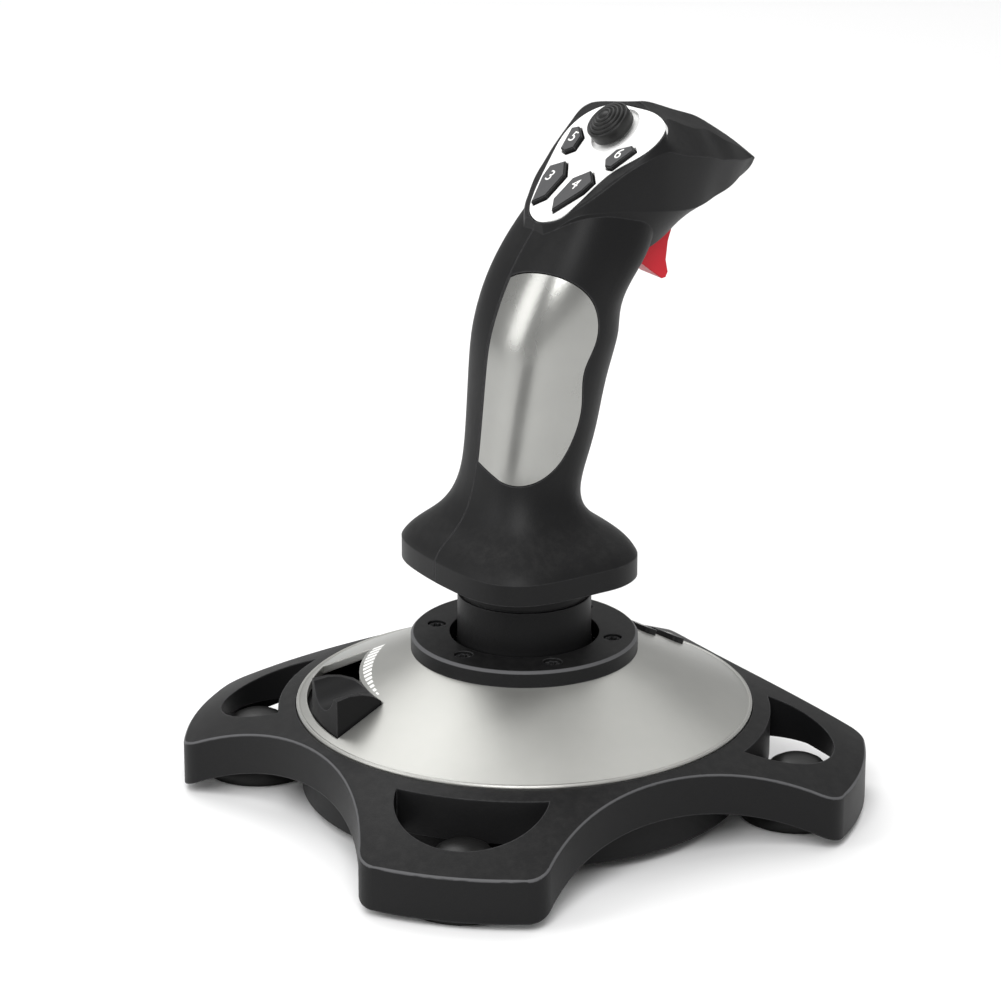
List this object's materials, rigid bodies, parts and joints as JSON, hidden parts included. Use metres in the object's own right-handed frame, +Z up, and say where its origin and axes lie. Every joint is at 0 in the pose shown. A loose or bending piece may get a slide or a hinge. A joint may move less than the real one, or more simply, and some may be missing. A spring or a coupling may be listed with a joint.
{
  "type": "flight joystick",
  "caption": "Desk flight joystick: sprung two-axis grip with hat, trigger and thumb buttons on a cone-shaped four-legged suction base with a lever throttle.",
  "frame": {"origin": "on the table, below the pivot of the stick", "axes": "+Y forwards, the way the nose of the grip points; +X the user's right; +Z up"},
  "size_m": [0.1818, 0.1818, 0.2158],
  "materials": {
    "black_plastic": "fine moulded grain, satin",
    "knob_black": "satin",
    "silver_dome": "satin silver paint",
    "satin_panel": "satin metallic lacquer",
    "white_plate": "pale silver-white satin paint",
    "red_trigger": "semi-gloss",
    "button_grey": "satin",
    "soft_rubber": "smooth",
    "steel": "zinc plated",
    "nylon": "moulded",
    "circuit_board": "solder mask",
    "switch_black": "moulded"
  },
  "bodies": {
    "base": {"base_frame": "black_plastic", "bottom_pan": "black_plastic", "bottom_screws": "steel", "suction_cup_1": "soft_rubber", "suction_cup_2": "soft_rubber", "suction_cup_3": "soft_rubber", "suction_cup_4": "soft_rubber", "cable_inlet": "soft_rubber", "dome_cover": "silver_dome", "collar": "black_plastic", "collar_screws": "steel", "gimbal_tower": "nylon", "tower_screws": "steel", "main_board": "circuit_board", "button_board": "circuit_board", "throttle_track": "black_plastic", "throttle_sensor": "switch_black", "centring_spring": "steel"},
    "throttle": {"throttle_arm": "nylon", "throttle_knob": "knob_black"},
    "cross": {"gimbal_cross": "nylon", "roll_pins": "steel", "pitch_pins": "steel"},
    "stick": {"neck_sleeve": "black_plastic", "stick_hub": "nylon", "stick_shaft": "steel", "grip_shell_left": "black_plastic", "grip_shell_right": "black_plastic", "side_panel_right": "satin_panel", "thumb_plate": "white_plate", "grip_screws": "steel", "grip_board": "circuit_board", "hat_switch": "switch_black", "trigger_pin": "steel", "trigger_switch": "switch_black", "trigger_spring": "steel"},
    "trigger": {"trigger": "red_trigger"},
    "hat_ring": {"hat_stem": "nylon"},
    "hat": {"hat_cap": "soft_rubber"},
    "thumb_key_2": {"side_button_2": "button_grey"},
    "grip_key_3": {"button_3": "button_grey"},
    "grip_key_4": {"button_4": "button_grey"},
    "grip_key_5": {"button_5": "button_grey"},
    "grip_key_6": {"button_6": "button_grey"},
    "base_key_7": {"base_button_7": "button_grey"},
    "base_key_8": {"base_button_8": "button_grey"},
    "base_key_9": {"base_button_9": "button_grey"},
    "base_key_10": {"base_button_10": "button_grey"},
    "base_key_11": {"base_button_11": "button_grey"},
    "base_key_12": {"base_button_12": "button_grey"}
  },
  "joints": [
    {"name": "stick_roll", "type": "hinge", "parent": "base", "child": "cross", "pos_m": [0, 0, 0.051], "axis": [0, 1, 0], "range_deg": [-13, 13], "stiffness_Nm_per_rad": 2.5, "deforming": ["centring_spring"]},
    {"name": "stick_pitch", "type": "hinge", "parent": "cross", "child": "stick", "pos_m": [0, 0, 0.051], "axis": [-1, 0, 0], "range_deg": [-13, 13], "stiffness_Nm_per_rad": 2.5},
    {"name": "throttle_sweep", "type": "hinge", "parent": "base", "child": "throttle", "pos_m": [0, 0, 0.022], "axis": [0, 0, -1], "range_deg": [0, 34]},
    {"name": "trigger_pull", "type": "hinge", "parent": "stick", "child": "trigger", "pos_m": [0, 0.05, 0.1815], "axis": [-1, 0, 0], "range_deg": [0, 10], "stiffness_Nm_per_rad": 0.4, "springref_deg": -5.73, "deforming": ["trigger_spring"]},
    {"name": "hat_fore_aft", "type": "hinge", "parent": "stick", "child": "hat_ring", "pos_m": [0, 0.03436, 0.20512], "axis": [-1, 0, 0], "range_deg": [-8, 8], "stiffness_Nm_per_rad": 0.05},
    {"name": "hat_sideways", "type": "hinge", "parent": "hat_ring", "child": "hat", "pos_m": [0, 0.03436, 0.20512], "axis": [0, 0.7776, 0.6288], "range_deg": [-8, 8], "stiffness_Nm_per_rad": 0.05},
    {"name": "press_2", "type": "slide", "parent": "stick", "child": "thumb_key_2", "axis": [1, 0, 0], "range_m": [0, 0.001], "stiffness_N_per_m": 800, "springref_m": -0.0008},
    {"name": "press_3", "type": "slide", "parent": "stick", "child": "grip_key_3", "axis": [0, 0.6288, -0.7776], "range_m": [0, 0.001], "stiffness_N_per_m": 800, "springref_m": -0.0008},
    {"name": "press_4", "type": "slide", "parent": "stick", "child": "grip_key_4", "axis": [0, 0.6288, -0.7776], "range_m": [0, 0.001], "stiffness_N_per_m": 800, "springref_m": -0.0008},
    {"name": "press_5", "type": "slide", "parent": "stick", "child": "grip_key_5", "axis": [0, 0.6288, -0.7776], "range_m": [0, 0.001], "stiffness_N_per_m": 800, "springref_m": -0.0008},
    {"name": "press_6", "type": "slide", "parent": "stick", "child": "grip_key_6", "axis": [0, 0.6288, -0.7776], "range_m": [0, 0.001], "stiffness_N_per_m": 800, "springref_m": -0.0008},
    {"name": "press_7", "type": "slide", "parent": "base", "child": "base_key_7", "axis": [0.3181, -0.3071, -0.8969], "range_m": [0, 0.001], "stiffness_N_per_m": 800, "springref_m": -0.0008},
    {"name": "press_8", "type": "slide", "parent": "base", "child": "base_key_8", "axis": [0.2007, -0.394, -0.8969], "range_m": [0, 0.001], "stiffness_N_per_m": 800, "springref_m": -0.0008},
    {"name": "press_9", "type": "slide", "parent": "base", "child": "base_key_9", "axis": [0.0615, -0.4378, -0.8969], "range_m": [0, 0.001], "stiffness_N_per_m": 800, "springref_m": -0.0008},
    {"name": "press_10", "type": "slide", "parent": "base", "child": "base_key_10", "axis": [0.3181, -0.3071, -0.8969], "range_m": [0, 0.001], "stiffness_N_per_m": 800, "springref_m": -0.0008},
    {"name": "press_11", "type": "slide", "parent": "base", "child": "base_key_11", "axis": [0.2007, -0.394, -0.8969], "range_m": [0, 0.001], "stiffness_N_per_m": 800, "springref_m": -0.0008},
    {"name": "press_12", "type": "slide", "parent": "base", "child": "base_key_12", "axis": [0.0615, -0.4378, -0.8969], "range_m": [0, 0.001], "stiffness_N_per_m": 800, "springref_m": -0.0008}
  ]
}
